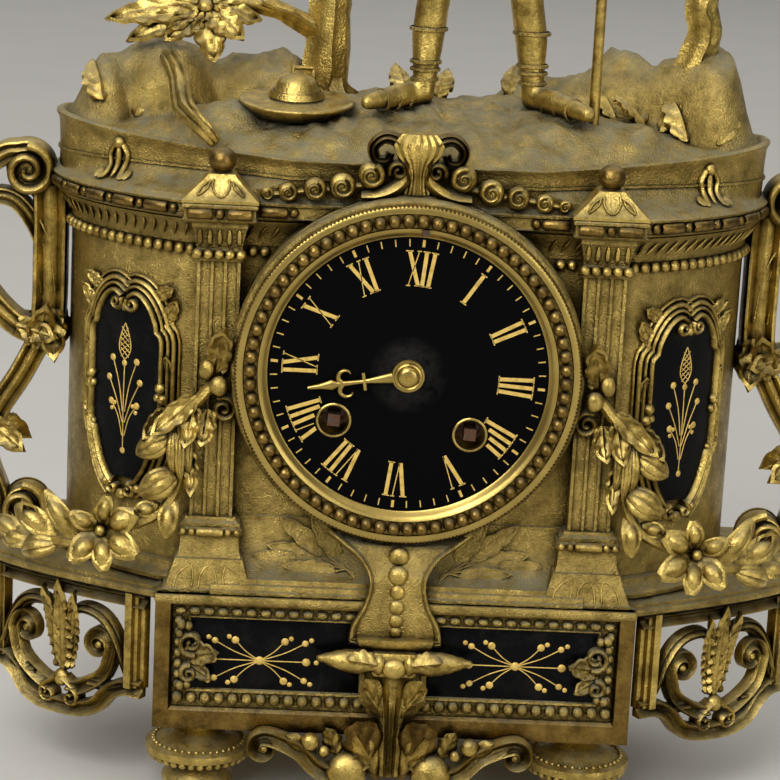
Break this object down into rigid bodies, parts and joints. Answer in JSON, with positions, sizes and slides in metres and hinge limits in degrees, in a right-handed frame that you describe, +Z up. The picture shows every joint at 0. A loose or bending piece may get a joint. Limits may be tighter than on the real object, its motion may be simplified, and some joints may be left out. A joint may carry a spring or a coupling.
{
  "type": "table clock",
  "caption": "Free-standing gilded table clock: oval columned case on turned feet, dark round dial in a beaded bezel, side scroll handles, standing figure on a rocky top.",
  "frame": {"origin": "middle of the clock in plan, on the surface that the feet stand on", "axes": "+X to the right seen from the dial side, +Y to the back, +Z up; the dial faces -Y"},
  "size_m": [0.3354, 0.1296, 0.4387],
  "materials": {
    "gilt": "gilded casting, satin with darker recesses",
    "worn_gilt": "gilded casting, worn and dusty",
    "black_inlay": "polished black plate with engraved gilt lines",
    "brass": "turned brass",
    "steel": "steel with light rust",
    "bell_metal": "polished bell metal"
  },
  "bodies": {
    "case": {"front_plate": "brass", "back_plate": "brass", "dial": "black_inlay", "winding_eyelet_left": "brass", "winding_eyelet_right": "brass", "bezel": "brass", "back_cock": "brass", "bell": "bell_metal", "bell_bracket": "steel", "movement_strap_left": "brass", "movement_strap_right": "brass", "base_panel_left": "black_inlay", "base_panel_right": "black_inlay", "base_casting": "worn_gilt", "foot_front_left": "gilt", "foot_front_right": "gilt", "foot_rear_left": "gilt", "foot_rear_right": "gilt", "base_wing_left": "gilt", "base_wing_right": "gilt", "body_casting": "worn_gilt", "drum_ring": "worn_gilt", "pilaster_left": "gilt", "pilaster_right": "gilt", "cornice": "gilt", "finial_left": "gilt", "finial_right": "gilt", "crest": "gilt", "side_panel_left": "black_inlay", "side_frame_left": "gilt", "side_panel_right": "black_inlay", "side_frame_right": "gilt", "garland_left": "gilt", "garland_right": "gilt", "handle_left": "gilt", "handle_right": "gilt", "centre_drop": "gilt", "base_apron": "gilt", "ground_casting": "worn_gilt", "figure": "gilt", "figure_staff": "gilt", "rear_ring": "brass"},
    "hour": {"hour_hand": "brass"},
    "minute": {"cannon_pinion": "steel", "minute_collet": "brass"},
    "minute_wheel": {"minute_wheel": "brass"},
    "third": {"third_wheel": "brass"},
    "escape": {"escape_wheel": "brass"},
    "centre": {"centre_wheel": "steel"},
    "second": {"second_wheel": "brass"},
    "going_barrel": {"going_barrel": "brass"},
    "strike_barrel": {"strike_barrel": "brass"},
    "going_winder": {"winding_arbor_right": "steel"},
    "strike_winder": {"winding_arbor_left": "steel"},
    "regulator": {"regulator_arbor": "steel"},
    "pendulum": {"pendulum_rod": "steel", "pendulum_bob": "brass"},
    "pallets": {"pallet_anchor": "steel"},
    "hammer": {"hammer": "steel"},
    "rear_cover": {"rear_cover": "brass"}
  },
  "joints": [
    {"name": "hour_hand_turn", "type": "hinge", "parent": "case", "child": "hour", "pos_m": [0, 0.00742, 0.163], "axis": [0, 1, 0], "continuous": true},
    {"name": "minute_turn", "type": "hinge", "parent": "case", "child": "minute", "pos_m": [0, 0.00742, 0.163], "axis": [0, 1, 0], "continuous": true},
    {"name": "minute_wheel_turn", "type": "hinge", "parent": "case", "child": "minute_wheel", "pos_m": [0.00082, 0.00742, 0.17497], "axis": [0, 1, 0], "continuous": true},
    {"name": "third_wheel_turn", "type": "hinge", "parent": "case", "child": "third", "pos_m": [-0.00721, 0.00742, 0.17771], "axis": [0, 1, 0], "continuous": true},
    {"name": "escape_wheel_turn", "type": "hinge", "parent": "case", "child": "escape", "pos_m": [0.00184, 0.00742, 0.19005], "axis": [0, 1, 0], "continuous": true},
    {"name": "centre_wheel_turn", "type": "hinge", "parent": "case", "child": "centre", "pos_m": [0, 0.00742, 0.163], "axis": [0, 1, 0], "continuous": true},
    {"name": "second_wheel_turn", "type": "hinge", "parent": "case", "child": "second", "pos_m": [0.01657, 0.00742, 0.15916], "axis": [0, 1, 0], "continuous": true},
    {"name": "going_barrel_turn", "type": "hinge", "parent": "case", "child": "going_barrel", "pos_m": [0.02257, 0.00742, 0.14262], "axis": [0, 1, 0], "continuous": true},
    {"name": "strike_barrel_turn", "type": "hinge", "parent": "case", "child": "strike_barrel", "pos_m": [-0.02512, 0.00742, 0.14587], "axis": [0, 1, 0], "continuous": true},
    {"name": "going_wind", "type": "hinge", "parent": "case", "child": "going_winder", "pos_m": [0.02257, 0.00742, 0.14262], "axis": [0, 1, 0], "range_deg": [0, 1800]},
    {"name": "strike_wind", "type": "hinge", "parent": "case", "child": "strike_winder", "pos_m": [-0.02512, 0.00742, 0.14587], "axis": [0, 1, 0], "range_deg": [0, 1800]},
    {"name": "regulator_turn", "type": "hinge", "parent": "case", "child": "regulator", "pos_m": [0.00347, 0.00742, 0.21388], "axis": [0, 1, 0], "range_deg": [-360, 360]},
    {"name": "pendulum_swing", "type": "hinge", "parent": "case", "child": "pendulum", "pos_m": [0.00261, 0.00742, 0.20131], "axis": [0, 1, 0], "range_deg": [-4, 4]},
    {"name": "pallet_rock", "type": "hinge", "parent": "case", "child": "pallets", "pos_m": [0.00261, 0.00742, 0.20131], "axis": [0, 1, 0], "range_deg": [-4, 4]},
    {"name": "hammer_lift", "type": "hinge", "parent": "case", "child": "hammer", "pos_m": [0.03687, 0.00742, 0.17452], "axis": [0, -1, 0], "range_deg": [0, 12], "stiffness_Nm_per_rad": 0.02, "springref_deg": -2.86},
    {"name": "rear_cover_hinge", "type": "hinge", "parent": "case", "child": "rear_cover", "pos_m": [0.055, 0.05882, 0.163], "axis": [0, 0, -1], "range_deg": [0, 110]}
  ],
  "couplings": [
    {"joint": "minute_turn", "follows": "hour_hand_turn", "ratio": 12},
    {"joint": "minute_wheel_turn", "follows": "hour_hand_turn", "ratio": -4},
    {"joint": "escape_wheel_turn", "follows": "third_wheel_turn", "ratio": -14},
    {"joint": "centre_wheel_turn", "follows": "third_wheel_turn", "ratio": -0.083333},
    {"joint": "second_wheel_turn", "follows": "third_wheel_turn", "ratio": 0.013889},
    {"joint": "going_barrel_turn", "follows": "third_wheel_turn", "ratio": -0.0018519},
    {"joint": "pallet_rock", "follows": "pendulum_swing", "ratio": 1}
  ]
}
